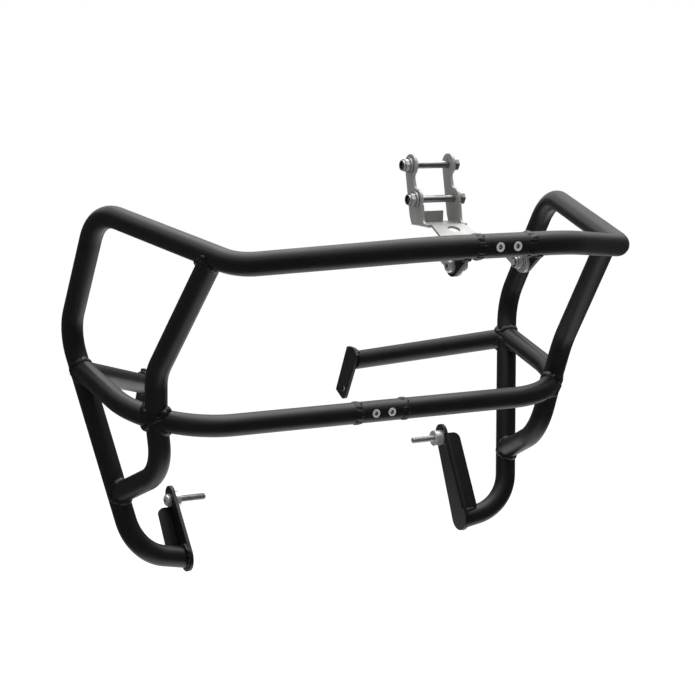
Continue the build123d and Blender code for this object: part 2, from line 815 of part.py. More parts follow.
for piece in (
    engine_bolts,
    engine_washers,
    engine_spacers,
    lug_bolts,
    lug_washers,
    lug_nuts,
    clamp_bolts,
    clamp_washers,
    clamp_nuts,
    nylon_rings,
):
    export_step(piece.part, f"parts/{piece.part.label}.step")
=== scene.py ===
import json
import math

import bpy
import numpy as np
from mathutils import Matrix, Vector


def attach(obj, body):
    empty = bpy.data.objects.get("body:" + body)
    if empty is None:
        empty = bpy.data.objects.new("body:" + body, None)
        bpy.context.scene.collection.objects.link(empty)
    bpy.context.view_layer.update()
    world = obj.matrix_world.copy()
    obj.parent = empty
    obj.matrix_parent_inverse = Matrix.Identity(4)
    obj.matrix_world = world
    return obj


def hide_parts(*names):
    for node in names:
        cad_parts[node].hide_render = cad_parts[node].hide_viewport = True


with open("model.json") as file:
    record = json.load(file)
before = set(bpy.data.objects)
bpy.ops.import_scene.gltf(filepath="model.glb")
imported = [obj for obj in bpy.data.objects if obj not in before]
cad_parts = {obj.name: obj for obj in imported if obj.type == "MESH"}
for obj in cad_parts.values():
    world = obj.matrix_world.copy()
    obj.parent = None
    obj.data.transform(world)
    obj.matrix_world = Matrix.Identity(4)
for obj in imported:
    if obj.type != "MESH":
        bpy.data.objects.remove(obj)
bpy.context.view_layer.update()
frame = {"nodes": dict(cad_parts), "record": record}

nodes = frame["nodes"]
print("frame loaded:", len(nodes), "nodes")

mm = 0.001
couplingCentre = np.array([0.0, -327.64, 425.57])  # middle of the upper coupling in the frame, mm
patternSpan = (0.3, 0.7)  # nearly all values of a noise pattern lie between these


def hexToLinear(code):
    channels = [int(code[i:i + 2], 16) / 255 for i in (1, 3, 5)]
    linear = [c / 12.92 if c <= 0.04045 else ((c + 0.055) / 1.055) ** 2.4 for c in channels]
    return (*linear, 1.0)


def addNode(tree, kind, values=None, links=None, stops=(), **settings):
    node = tree.nodes.new(kind)
    for key, value in settings.items():
        setattr(node, key, value)
    for key, value in (values or {}).items():
        node.inputs[key].default_value = value
    for key, source in (links or {}).items():
        tree.links.new(source, node.inputs[key])
    for i, code in enumerate(stops):  # a colour ramp's dark and light end
        node.color_ramp.elements[i].position = patternSpan[i]
        node.color_ramp.elements[i].color = hexToLinear(code)
    return node


def blankMaterial(name):
    material = bpy.data.materials.new(name)
    material.use_nodes = True
    material.node_tree.nodes.clear()
    return material, material.node_tree


def overPattern(low, high):
    # settings that spread a pattern's values from low to high
    return {"From Min": patternSpan[0], "From Max": patternSpan[1], "To Min": low, "To Max": high}


powder = {
    "coat": "#0b0b0c", "thin": "#111113",  # the same black where the film is thick and thin
    "roughLow": 0.40, "roughHigh": 0.47, "weldRough": -0.04,
    "ior": 1.5, "specular": 0.4,
    "peelMm": 2.4,  # orange peel is about 1 mm on the real film, drawn coarser so that it shows
    "peelDetail": 2.0, "peelFalloff": 0.45,
    "peelDepthMm": 0.4, "peelStrength": 0.05, "weldPeelStrength": 0.12,
    "cloudMm": 45.0, "cloudDetail": 3.0,  # slow drift of gloss along a tube
}


def bakedPowderCoat(name, peelStrength, roughShift):
    # black polyester powder, sprayed dry and baked: broad soft highlights, a faint orange peel,
    # no metal showing
    material, tree = blankMaterial(name)
    place = addNode(tree, "ShaderNodeTexCoord").outputs["Object"]
    cloud = addNode(tree, "ShaderNodeTexNoise",
                    {"Scale": 1 / (powder["cloudMm"] * mm), "Detail": powder["cloudDetail"]},
                    {"Vector": place}).outputs["Fac"]
    peel = addNode(tree, "ShaderNodeTexNoise",
                   {"Scale": 1 / (powder["peelMm"] * mm), "Detail": powder["peelDetail"],
                    "Roughness": powder["peelFalloff"]},
                   {"Vector": place}).outputs["Fac"]
    colour = addNode(tree, "ShaderNodeValToRGB", links={"Fac": cloud},
                     stops=(powder["coat"], powder["thin"]))
    gloss = addNode(tree, "ShaderNodeMapRange",
                    overPattern(powder["roughLow"] + roughShift, powder["roughHigh"] + roughShift),
                    {"Value": cloud})
    bump = addNode(tree, "ShaderNodeBump",
                   {"Strength": peelStrength, "Distance": powder["peelDepthMm"] * mm},
                   {"Height": peel})
    shader = addNode(tree, "ShaderNodeBsdfPrincipled",
                     {"IOR": powder["ior"], "Specular IOR Level": powder["specular"]},
                     {"Base Color": colour.outputs["Color"], "Roughness": gloss.outputs["Result"],
                      "Normal": bump.outputs["Normal"]})
    addNode(tree, "ShaderNodeOutputMaterial", links={"Surface": shader.outputs["BSDF"]})
    return material


sheet = {
    "steel": "#a5a5a2", "bright": "#b3b3b0", "metallic": 0.36,
    "roughLow": 0.34, "roughHigh": 0.44,
    # polishing lines: real ones are finer than a pixel, drawn coarser so that they show
    "grainAcrossMm": 0.9, "grainAlongMm": 22.0, "grainDetail": 3.0,
    "grainStrength": 0.05, "grainDepthMm": 0.2,
    "cloudMm": 17.0, "cloudDetail": 2.0,  # slow drift of tone over the sheet
}


def satinStainless():
    # cold-rolled stainless sheet, belt polished: grey, soft reflections drawn out by fine
    # parallel lines
    material, tree = blankMaterial("satinStainlessSheet")
    place = addNode(tree, "ShaderNodeTexCoord").outputs["Object"]
    across, along = 1 / (sheet["grainAcrossMm"] * mm), 1 / (sheet["grainAlongMm"] * mm)
    # the mapping carries the scale of the lines, so the noise keeps a scale of one
    lines = addNode(tree, "ShaderNodeMapping", {"Scale": (across, across, along)}, {"Vector": place})
    grain = addNode(tree, "ShaderNodeTexNoise", {"Scale": 1.0, "Detail": sheet["grainDetail"]},
                    {"Vector": lines.outputs["Vector"]}).outputs["Fac"]
    cloud = addNode(tree, "ShaderNodeTexNoise",
                    {"Scale": 1 / (sheet["cloudMm"] * mm), "Detail": sheet["cloudDetail"]},
                    {"Vector": place}).outputs["Fac"]
    colour = addNode(tree, "ShaderNodeValToRGB", links={"Fac": cloud},
                     stops=(sheet["steel"], sheet["bright"]))
    gloss = addNode(tree, "ShaderNodeMapRange",
                    overPattern(sheet["roughLow"], sheet["roughHigh"]), {"Value": grain})
    bump = addNode(tree, "ShaderNodeBump",
                   {"Strength": sheet["grainStrength"], "Distance": sheet["grainDepthMm"] * mm},
                   {"Height": grain})
    shader = addNode(tree, "ShaderNodeBsdfPrincipled", {"Metallic": sheet["metallic"]},
                     {"Base Color": colour.outputs["Color"], "Roughness": gloss.outputs["Result"],
                      "Normal": bump.outputs["Normal"]})
    addNode(tree, "ShaderNodeOutputMaterial", links={"Surface": shader.outputs["BSDF"]})
    return material


fastener = {
    "screw": {"dark": "#dcdbd8", "light": "#ecebe8", "roughLow": 0.22, "roughHigh": 0.30, "metallic": 0.45},
    "zinc": {"dark": "#bfc1c2", "light": "#d2d4d4", "roughLow": 0.26, "roughHigh": 0.34, "metallic": 0.6},
    "nut": {"dark": "#b2b3b2", "light": "#c6c7c6", "roughLow": 0.26, "roughHigh": 0.34, "metallic": 0.58},
    "stud": {"dark": "#999b9c", "light": "#aeb0b1", "roughLow": 0.28, "roughHigh": 0.36, "metallic": 0.75},
    "rod": {"dark": "#8f9090", "light": "#a5a6a6", "roughLow": 0.28, "roughHigh": 0.36, "metallic": 1.0},
    "cloudMm": 6.0, "cloudDetail": 2.0,  # slow drift of the plating's tone
    "recessMm": 3.0, "recessSamples": 12,  # recesses narrower than this get painted shade, a dark colour mixed in by ambient occlusion
    "paintedShade": "#0a0a0a", "fullShadeAt": 0.36, "noShadeAt": 0.8,
}


def platedFastener(name, look):
    # cold-headed and plated steel: smooth bright skin with clear glints, and painted shade
    # that darkens the recesses
    material, tree = blankMaterial(name)
    place = addNode(tree, "ShaderNodeTexCoord").outputs["Object"]
    cloud = addNode(tree, "ShaderNodeTexNoise",
                    {"Scale": 1 / (fastener["cloudMm"] * mm), "Detail": fastener["cloudDetail"]},
                    {"Vector": place}).outputs["Fac"]
    colour = addNode(tree, "ShaderNodeValToRGB", links={"Fac": cloud},
                     stops=(look["dark"], look["light"]))
    # painted shade: ambient occlusion mixes a dark colour into sockets and other recesses
    recess = addNode(tree, "ShaderNodeAmbientOcclusion", {"Distance": fastener["recessMm"] * mm},
                     samples=fastener["recessSamples"])
    unshadedShare = addNode(tree, "ShaderNodeMapRange",
                   {"From Min": fastener["fullShadeAt"], "From Max": fastener["noShadeAt"]},
                   {"Value": recess.outputs["AO"]})
    withPaintedShade = addNode(tree, "ShaderNodeMix", {6: hexToLinear(fastener["paintedShade"])},  # 6 and 7 are colours
                     {0: unshadedShare.outputs["Result"], 7: colour.outputs["Color"]}, data_type="RGBA")
    gloss = addNode(tree, "ShaderNodeMapRange",
                    overPattern(look["roughLow"], look["roughHigh"]), {"Value": cloud})
    shader = addNode(tree, "ShaderNodeBsdfPrincipled", {"Metallic": look["metallic"]},
                     {"Base Color": withPaintedShade.outputs[2], "Roughness": gloss.outputs["Result"]})
    addNode(tree, "ShaderNodeOutputMaterial", links={"Surface": shader.outputs["BSDF"]})
    return material


collar = {
    "dark": "#c6c5c2", "light": "#dad9d6", "rough": 0.26, "metallic": 0.7,
    "feedMm": 0.8,  # tool rings are nearer 0.2 mm on the real collar, drawn coarser so that they show
    "waver": 0.4, "waverDetail": 1.0, "strength": 0.12, "depthMm": 0.2,
}


def turnedCollar():
    # turned bar, then plated: light grey with fine tool rings across its length
    material, tree = blankMaterial("turnedSteelCollar")
    place = addNode(tree, "ShaderNodeTexCoord").outputs["Object"]
    waveUnit = 2 * math.pi  # the wave texture repeats this often in one unit
    rings = addNode(tree, "ShaderNodeTexWave",
                    {"Scale": 1 / (collar["feedMm"] * mm) / waveUnit,
                     "Distortion": collar["waver"], "Detail": collar["waverDetail"]},
                    {"Vector": place}, wave_type="BANDS", bands_direction="X").outputs["Fac"]
    colour = addNode(tree, "ShaderNodeValToRGB", links={"Fac": rings},
                     stops=(collar["dark"], collar["light"]))
    bump = addNode(tree, "ShaderNodeBump",
                   {"Strength": collar["strength"], "Distance": collar["depthMm"] * mm},
                   {"Height": rings})
    shader = addNode(tree, "ShaderNodeBsdfPrincipled",
                     {"Metallic": collar["metallic"], "Roughness": collar["rough"]},
                     {"Base Color": colour.outputs["Color"], "Normal": bump.outputs["Normal"]})
    addNode(tree, "ShaderNodeOutputMaterial", links={"Surface": shader.outputs["BSDF"]})
    return material


nylon = {
    "dark": "#0d0d0d", "light": "#161616", "rough": 0.5, "ior": 1.53,
    "grainMm": 0.9, "grainDetail": 2.0,  # finer on the real ring, drawn coarser so that it shows
    "strength": 0.1, "depthMm": 0.1,
}


def mouldedNylon():
    # black nylon ring pressed into a lock nut: dull, faintly grained from the mould
    material, tree = blankMaterial("mouldedNylon")
    place = addNode(tree, "ShaderNodeTexCoord").outputs["Object"]
    grain = addNode(tree, "ShaderNodeTexNoise",
                    {"Scale": 1 / (nylon["grainMm"] * mm), "Detail": nylon["grainDetail"]},
                    {"Vector": place}).outputs["Fac"]
    colour = addNode(tree, "ShaderNodeValToRGB", links={"Fac": grain},
                     stops=(nylon["dark"], nylon["light"]))
    bump = addNode(tree, "ShaderNodeBump",
                   {"Strength": nylon["strength"], "Distance": nylon["depthMm"] * mm},
                   {"Height": grain})
    shader = addNode(tree, "ShaderNodeBsdfPrincipled",
                     {"IOR": nylon["ior"], "Roughness": nylon["rough"]},
                     {"Base Color": colour.outputs["Color"], "Normal": bump.outputs["Normal"]})
    addNode(tree, "ShaderNodeOutputMaterial", links={"Surface": shader.outputs["BSDF"]})
    return material


finishes = {
    "powder_coat": bakedPowderCoat("bakedPowderCoat", powder["peelStrength"], 0.0),
    "coated_weld": bakedPowderCoat("bakedPowderCoatOnWeld", powder["weldPeelStrength"], powder["weldRough"]),
    "stainless_sheet": satinStainless(),
    "stainless_screw": platedFastener("coldHeadedStainless", fastener["screw"]),
    "zinc_steel": platedFastener("brightZincPlate", fastener["zinc"]),
    "turned_steel": turnedCollar(),
    "black_nylon": mouldedNylon(),
}
for part in frame["record"]["subparts"]:
    mesh = nodes[part["node"]].data
    mesh.materials.clear()
    mesh.materials.append(finishes[part["material_slot"]])
nodes["clamp_bolts"].data.materials[0] = platedFastener("rolledStainlessRod", fastener["rod"])
pressedNut = platedFastener("pressedStainlessNut", fastener["nut"])
for name in ("clamp_nuts", "clamp_washers", "lug_nuts"):
    nodes[name].data.materials[0] = pressedNut
print("materials made:", len(bpy.data.materials))


# centre lines of the welded tubes, left half, millimetres from the middle of the upper coupling
tubes = {
    "radius": 12.7, "couplingHalf": 31.0,
    "main": [(-31, 0, 0), (-79.2, 0, 0), (-241.5, 121.4, -24.0), (-304.2, 356.7, 12.4),
             (-305.4, 450.7, -138.3), (-256.9, 367.0, -391.8), (-190.1, 379.6, -408.3)],
    "mainBends": [97, 59, 58.5, 62, 57],
    "railStart": (-31, 249.7, -221.0), "railCorner": (-282.7, 249.7, -221.0), "railBend": 104,
    "railFootZ": -180.1, "armRootZ": -183.8, "loopFootZ": -324.2, "braceTopY": 159.0,
    "braceKink": (-270.1, 270.1, -160.3), "loopKink": (-253.8, 293.2, -278.1),
    "landingShare": 0.599,  # how far along the rail the brace and the loop stand
    # each arm ends at its own place, and the web of each engine bracket stands at its own X
    "armEnd": {"left": (-140.9, 630.8, -246.9), "right": (170.0, 630.6, -238.7)},
    "webX": {"left": -189.0, "right": 197.5},
    # outline of an arm plate, Y and Z from the arm's end
    "plate": [(8.3, 19.7), (39.5, -47.4), (14.8, -60.4), (-21.2, 9.7), (-11.6, 19.7)],
}
beads = {
    "stepMm": 0.6, "around": 16, "seed": 11,
    "fewestSteps": 12, "fewestRipples": 3, "fewestWaves": 2,
    "rippleMm": 3.6, "crescent": 0.30, "rippleFall": 1.6,  # spacing, bow and slope of the ripples
    "drift": 0.12, "driftMm": 17.0, "sway": 0.18, "unevenness": 0.35,  # in size, sideways and in spacing
    "driftShares": (0.4, 0.7, 0.5),  # of the slow, the middle and the quick drift
    "endMm": 2.5, "endLeastMm": 0.4,  # an open bead rounds off over this length
    # half height and half width of each kind of bead, how far its middle stands out from the
    # corner, the depth of its ripples, and how much of it is left on a tube's cheeks or below a
    # foot, where the torch doesn't dwell
    "saddle": {"high": 3.8, "wide": 5.2, "out": -0.1, "ripple": 0.12, "lean": 0.4},
    "landing": {"high": 5.0, "wide": 6.4, "out": -0.2, "ripple": 0.16, "lean": 0.2},
    "foot": {"high": 4.6, "wide": 3.5, "out": 0.4, "ripple": 0.08, "lean": 0.38},
    "ring": {"high": 2.3, "wide": 5.4, "out": -1.0, "ripple": 0.24, "lean": 1.0},
    "lug": {"high": 2.0, "wide": 2.2, "out": 0.2, "ripple": 0.12, "lean": 1.0},
    "lugFaces": (41.6, 46.4), "lugArc": (-8, -114), "plateMargin": 1.0,
}


def between(low, high, axis, value):
    # the point on a straight run where one coordinate has the given value
    low, high = np.array(low, float), np.array(high, float)
    return low + (high - low) * (value - low[axis]) / (high[axis] - low[axis])


def unit(vector):
    return vector / np.linalg.norm(vector)


def onSide(point, side):
    # a point of the left half as it stands, or mirrored to the right half
    return np.array([-side * point[0], point[1], point[2]])


def lengthsAlong(line):
    return np.concatenate([[0], np.cumsum(np.linalg.norm(np.diff(line, axis=0), axis=1))])


def bentLine(corners, bends, step=1.5, fewest=6):
    # straight runs with tangent bends, as close points
    corners = [np.array(c, float) for c in corners]
    points = [corners[0]]
    for i, bend in enumerate(bends, 1):
        before, after = unit(corners[i - 1] - corners[i]), unit(corners[i + 1] - corners[i])
        half = math.acos(np.clip(before @ after, -1, 1)) / 2
        middle = corners[i] + unit(before + after) * bend / math.sin(half)
        arm = corners[i] + before * bend / math.tan(half) - middle
        axis = unit(np.cross(before, after))
        sweep = math.pi - 2 * half
        count = max(fewest, int(sweep * bend / step))
        for k in range(count + 1):
            angle = -sweep * k / count
            points.append(middle + arm * math.cos(angle) + np.cross(axis, arm) * math.sin(angle))
    points.append(corners[-1])
    dense = [points[0]]
    for a, b in zip(points, points[1:]):
        pieces = max(1, int(np.linalg.norm(b - a) / step))
        dense += [a + (b - a) * (k + 1) / pieces for k in range(pieces)]
    return np.array(dense)


def crossAxes(direction, steep=0.9):
    helper = np.array([0.0, 0.0, 1.0]) if abs(direction[2]) < steep else np.array([1.0, 0.0, 0.0])
    first = unit(np.cross(direction, helper))
    return first, np.cross(direction, first)


def nearestOn(line, point):
    i = int(np.linalg.norm(line - point, axis=1).argmin())
    best = line[i]
    for j in (i - 1, i + 1):
        if 0 <= j < len(line):
            run = line[j] - line[i]
            spot = line[i] + np.clip((point - line[i]) @ run / (run @ run), 0, 1) * run
            if np.linalg.norm(point - spot) < np.linalg.norm(point - best):
                best = spot
    return best


def saddlePath(root, toward, carrier, count=110, reach=70.0, halvings=22, span=3):
    # where the skin of a tube leaving root meets the skin of the tube that carries it
    root = np.array(root, float)
    direction = unit(np.array(toward, float) - root)
    first, second = crossAxes(direction)
    radius = tubes["radius"]
    near = int(np.linalg.norm(carrier - root, axis=1).argmin())
    grain = unit(carrier[min(near + span, len(carrier) - 1)] - carrier[max(near - span, 0)])
    path, outward, weight = [], [], []
    for k in range(count):
        angle = 2 * math.pi * k / count
        spoke = first * math.cos(angle) + second * math.sin(angle)
        low, high = 0.0, reach
        for _ in range(halvings):
            mid = (low + high) / 2
            spot = root + spoke * radius + direction * mid
            inside = np.linalg.norm(spot - nearestOn(carrier, spot)) < radius
            low, high = (mid, high) if inside else (low, mid)
        spot = root + spoke * radius + direction * high
        path.append(spot)
        outward.append(unit(spoke + unit(spot - nearestOn(carrier, spot))))
        weight.append(abs(spoke @ grain))
    return np.array(path), np.array(outward), np.array(weight), True


def planePath(start, toward, planeX, side, count=96, shortest=6, keep=None):
    # where the skin of a tube meets a plate square to X, in one ring or in the runs that lie on
    # the plate
    start = np.array(start, float)
    direction = unit(np.array(toward, float) - start)
    first, second = crossAxes(direction)
    path, outward, weight = [], [], []
    for k in range(count):
        angle = 2 * math.pi * k / count
        spoke = first * math.cos(angle) + second * math.sin(angle)
        spot = start + spoke * tubes["radius"]
        path.append(spot + direction * (planeX - spot[0]) / direction[0])
        outward.append(unit(spoke + np.array([side, 0.0, 0.0])))
        weight.append((1 + spoke[2]) / 2)
    path, outward, weight = np.array(path), np.array(outward), np.array(weight)
    inside = [keep is None or keep(p) for p in path]
    if all(inside):
        return [(path, outward, weight, True)]
    begin = next(k for k in range(count) if inside[k] and not inside[k - 1])
    runs, run = [], []
    for k in [(begin + k) % count for k in range(count)] + [None]:
        if k is not None and inside[k]:
            run.append(k)
            continue
        if len(run) >= shortest:
            runs.append((path[run], outward[run], weight[run], False))
        run = []
    return runs


def arcPath(x, y, z, radius, fromDeg, toDeg, pushX, stepDeg=3.5, fewest=20):
    # an arc or a whole ring round a tube that runs along X
    count = max(fewest, int(abs(toDeg - fromDeg) / stepDeg))
    closed = abs(toDeg - fromDeg) >= 360
    path, outward = [], []
    for k in range(count if closed else count + 1):
        angle = math.radians(fromDeg + (toDeg - fromDeg) * k / count)
        spoke = np.array([0.0, math.cos(angle), math.sin(angle)])
        path.append(np.array([x, y, z]) + spoke * radius)
        outward.append(unit(spoke + np.array([pushX, 0.0, 0.0])))
    return np.array(path), np.array(outward), np.ones(len(path)), closed


def ringFaces(count, around, closed):
    # quads from ring to ring, with a cap at both ends where the rings don't close on themselves
    faces = []
    for k in range(count if closed else count - 1):
        nextRing = (k + 1) % count
        for a in range(around):
            b = (a + 1) % around
            faces.append((k * around + a, k * around + b, nextRing * around + b, nextRing * around + a))
    if not closed:
        faces.append(tuple(range(around))[::-1])
        faces.append(tuple((count - 1) * around + a for a in range(around)))
    return faces


def beadSkin(path, outward, weight, closed, kind, chance):
    # a rope of weld: each ripple is a crescent that overlaps the one before, and the hand drifts
    # a little
    size = beads[kind]
    if closed:
        path, outward = np.vstack([path, path[:1]]), np.vstack([outward, outward[:1]])
        weight = np.append(weight, weight[:1])
    lengths = lengthsAlong(path)
    total = lengths[-1]
    places = np.linspace(0, total, max(beads["fewestSteps"], int(total / beads["stepMm"])) + 1)
    places = places[:-1] if closed else places
    centre = np.stack([np.interp(places, lengths, path[:, i]) for i in range(3)], 1)
    normal = np.stack([np.interp(places, lengths, outward[:, i]) for i in range(3)], 1)
    normal /= np.linalg.norm(normal, axis=1, keepdims=True)
    tangent = np.roll(centre, -1, 0) - np.roll(centre, 1, 0) if closed else np.gradient(centre, axis=0)
    tangent /= np.linalg.norm(tangent, axis=1, keepdims=True)
    binormal = np.cross(tangent, normal)
    binormal /= np.linalg.norm(binormal, axis=1, keepdims=True)

    turns = 2 * math.pi * places / total
    waves = max(beads["fewestWaves"], round(total / beads["driftMm"]))

    def wander(amount):
        parts = [np.sin(turns * n + chance.uniform(0, 2 * math.pi)) for n in (1, waves, 2 * waves + 1)]
        return amount * sum(share * part for share, part in zip(beads["driftShares"], parts))

    swellAlong = size["lean"] + (1 - size["lean"]) * np.interp(places, lengths, weight)
    swellAlong = swellAlong * (1 + wander(beads["drift"]))
    shift = wander(beads["sway"] * size["wide"])
    ripples = max(beads["fewestRipples"], round(total / beads["rippleMm"]))
    stretch = wander(beads["unevenness"])
    around = beads["around"]
    points = []
    for k, s in enumerate(places):
        left = (min(s, total - s) + beads["endLeastMm"]) / beads["endMm"]
        ends = 1.0 if closed else min(1.0, left) ** 0.5
        for a in range(around):
            angle = 2 * math.pi * a / around
            phase = (s / total * ripples + stretch[k] - beads["crescent"] * math.cos(angle)) % 1.0
            swell = (1 - size["ripple"] * phase ** beads["rippleFall"]) * swellAlong[k] * ends
            up = size["out"] + size["high"] * swell * math.cos(angle)
            across = shift[k] + size["wide"] * swell * math.sin(angle)
            points.append(centre[k] + normal[k] * up + binormal[k] * across)
    return points, ringFaces(len(places), around, closed)


def placeObject(name, data):
    item = bpy.data.objects.new(name, data)
    bpy.context.scene.collection.objects.link(item)
    return item


def makePiece(name, skins, material, sharpDeg=None):
    points, faces = [], []
    for morePoints, moreFaces in skins:
        faces += [tuple(i + len(points) for i in face) for face in moreFaces]
        points += morePoints
    mesh = bpy.data.meshes.new(name)
    mesh.from_pydata([tuple((np.array(p) + couplingCentre) * mm) for p in points], [], faces)
    mesh.validate()
    mesh.update()
    mesh.materials.append(material)
    mesh.polygons.foreach_set("use_smooth", [True] * len(mesh.polygons))
    if sharpDeg:
        mesh.set_sharp_from_angle(angle=math.radians(sharpDeg))
    piece = placeObject(name, mesh)
    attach(piece, "root")
    print(name, len(faces), "faces")
    return piece


def onPlate(point, armEnd):
    # inside the arm plate's outline by the margin; its corners run clockwise seen along X
    place = np.array([point[1] - armEnd[1], point[2] - armEnd[2]])
    corners = [np.array(c) for c in tubes["plate"]]
    for a, b in zip(corners, corners[1:] + corners[:1]):
        edge = unit(b - a)
        if edge[1] * (place - a)[0] - edge[0] * (place - a)[1] < beads["plateMargin"]:
            return False
    return True


for side, hand in ((-1, "left"), (1, "right")):
    main = tubes["main"]
    knee, ankle, foot = main[4:7]
    railFoot, armRoot, loopFoot = (onSide(between(knee, ankle, 2, tubes[height]), side)
                                   for height in ("railFootZ", "armRootZ", "loopFootZ"))
    braceTop = onSide(between(main[2], main[3], 1, tubes["braceTopY"]), side)
    railStart, railCorner, braceKink, loopKink = (
        onSide(tubes[corner], side) for corner in ("railStart", "railCorner", "braceKink", "loopKink"))
    mainLine = bentLine([onSide(p, side) for p in main], tubes["mainBends"])
    railLine = bentLine([railStart, railCorner, railFoot], [tubes["railBend"]])
    railLengths = lengthsAlong(railLine)
    share = tubes["landingShare"] * railLengths[-1]
    landing = np.array([np.interp(share, railLengths, railLine[:, i]) for i in range(3)])
    armEnd, webX = tubes["armEnd"][hand], tubes["webX"][hand]
    chance = np.random.default_rng(beads["seed"] + side)
    runs = [
        ("saddle", saddlePath(railFoot, railCorner, mainLine)),
        ("saddle", saddlePath(braceTop, braceKink, mainLine)),
        ("landing", saddlePath(landing, braceKink, railLine)),
        ("landing", saddlePath(landing, loopKink, railLine)),
        ("saddle", saddlePath(loopFoot, loopKink, mainLine)),
        ("saddle", saddlePath(armRoot, armEnd, mainLine)),
    ]
    footRuns = planePath(onSide(foot, side), onSide(ankle, side), webX, side)
    plateRuns = planePath(armEnd, armRoot, armEnd[0], side, keep=lambda p: onPlate(p, armEnd))
    runs += [("foot", run) for run in footRuns + plateRuns]
    for ringAt in ((0.0, 0.0), tubes["railStart"][1:]):
        runs.append(("ring", arcPath(side * tubes["couplingHalf"], *ringAt, tubes["radius"], 0, 360, 0.0)))
    for faceX, push in zip(beads["lugFaces"], (-side, side)):
        runs.append(("lug", arcPath(side * faceX, 0, 0, tubes["radius"], *beads["lugArc"], push)))
    weldSkins = [beadSkin(*run, kind, chance) for kind, run in runs]
    weld = makePiece(f"weldBeads.{hand}", weldSkins, finishes["coated_weld"])
    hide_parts(f"weld_beads_{hand}")


engineBolts = {
    # Y and Z of the axis, then X of the head's seat, the start of the thread and its tip
    "left": {"axis": (428.0, -349.8), "seat": -190.6, "step": -177.0, "tip": -142.5},
    "right": {"axis": (428.5, -308.5), "seat": 199.1, "step": 182.5, "tip": 151.0},
    "crest": 3.95, "root": 3.45, "pitch": 1.25, "shank": 4.0, "leadMm": 1.4,
    "tipEase": 0.3, "crestFlat": 1.15,  # above one, the crests are cut flat
    "headRadius": 7.2, "headHeight": 4.4, "dome": 3.4, "rimEase": 0.25,
    "socketFlats": 5.0, "socketDeep": 2.6, "socketEase": 0.3,
    "segments": 48, "ringsPerTurn": 6, "domeRings": 6, "sharpDeg": 32,
}


def boltSkin(spec):
    # one closed skin from the thread's tip over the domed head into its hexagon socket
    size = engineBolts
    inward = 1 if spec["tip"] > spec["seat"] else -1
    segments = size["segments"]
    angles = [2 * math.pi * k / segments for k in range(segments)]
    rings = []

    def hexagon(angle):
        return size["socketFlats"] / 2 / math.cos((angle + math.pi / 6) % (math.pi / 3) - math.pi / 6)

    def addRing(x, radiusAt):
        rings.append([(x, radiusAt(a) if callable(radiusAt) else radiusAt, a) for a in angles])

    tip, step, seat = spec["tip"], spec["step"], spec["seat"]
    addRing(tip, size["root"] - size["tipEase"])
    threadLength = abs(tip - step)
    count = int(threadLength / size["pitch"] * size["ringsPerTurn"])
    for k in range(1, count):
        down = threadLength * k / count

        def threadRadius(a, down=down):
            turn = (down / size["pitch"] + inward * a / (2 * math.pi)) % 1.0
            ridge = min(1.0, size["crestFlat"] * (1 - abs(2 * turn - 1)))
            return size["root"] + (size["crest"] - size["root"]) * ridge * min(1.0, down / size["leadMm"])
        addRing(tip - inward * down, threadRadius)
    addRing(step, size["shank"])
    addRing(seat, size["shank"])

    def headRing(height, radiusAt):
        addRing(seat - inward * height, radiusAt)

    headRing(0.0, size["headRadius"] - size["rimEase"])
    headRing(size["rimEase"], size["headRadius"])
    for k in range(size["domeRings"] + 1):
        turn = math.pi / 2 * k / size["domeRings"]
        headRing(size["headHeight"] - size["dome"] * (1 - math.sin(turn)),
                 size["headRadius"] - size["dome"] * (1 - math.cos(turn)))
    headRing(size["headHeight"], lambda a: hexagon(a) + size["socketEase"])
    headRing(size["headHeight"] - size["socketEase"], hexagon)
    headRing(size["headHeight"] - size["socketDeep"], hexagon)
    points = [(x, spec["axis"][0] + r * math.cos(a), spec["axis"][1] + r * math.sin(a))
              for ring in rings for x, r, a in ring]
    faces = ringFaces(len(rings), segments, False)
    return points, faces if inward < 0 else [face[::-1] for face in faces]


bolts = makePiece("engineBolts", [boltSkin(engineBolts[hand]) for hand in ("left", "right")],
                  platedFastener("rolledZincStud", fastener["stud"]), engineBolts["sharpDeg"])
bolts.data.materials.append(finishes["zinc_steel"])  # the heads get a brighter zinc colour than the threads
for face in bolts.data.polygons:
    if not engineBolts["left"]["seat"] <= face.center.x / mm <= engineBolts["right"]["seat"]:
        face.material_index = 1
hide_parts("engine_bolts")


studio = {
    "floorZ": -1.2, "floorHalf": 12.0,
    "paper": "#fafaf9", "paperLift": 0.45,
    "sky": "#ffffff", "skyLight": "#c9c9c9",  # what the eye and metal see, and what lights dull surfaces
    "topPower": 77.0, "topSize": 2.9, "topAt": (0.4, 0.5, 2.65),
    "aim": (0.0, 0.0, 0.25),
}
curtain = {
    "cloth": "#5c5c5c", "radius": 1.15, "columns": 72, "rows": 8,
    "topDeg": 36, "backTopDeg": 13,  # upper rim round the set and behind it
    "lowDeg": -60, "leftLowDeg": -66, "backLowDeg": -16,  # lower rim round, left of and behind it
    "backAtDeg": 61.6,  # where behind is, along the camera's view
}


def seenRays(tree):
    # one for the eye, polished metal and glass, nothing for dull surfaces
    path = addNode(tree, "ShaderNodeLightPath").outputs
    glossy = addNode(tree, "ShaderNodeMath", links={0: path["Is Camera Ray"], 1: path["Is Glossy Ray"]},
                     operation="MAXIMUM").outputs[0]
    return addNode(tree, "ShaderNodeMath", links={0: glossy, 1: path["Is Transmission Ray"]},
                   operation="MAXIMUM").outputs[0]


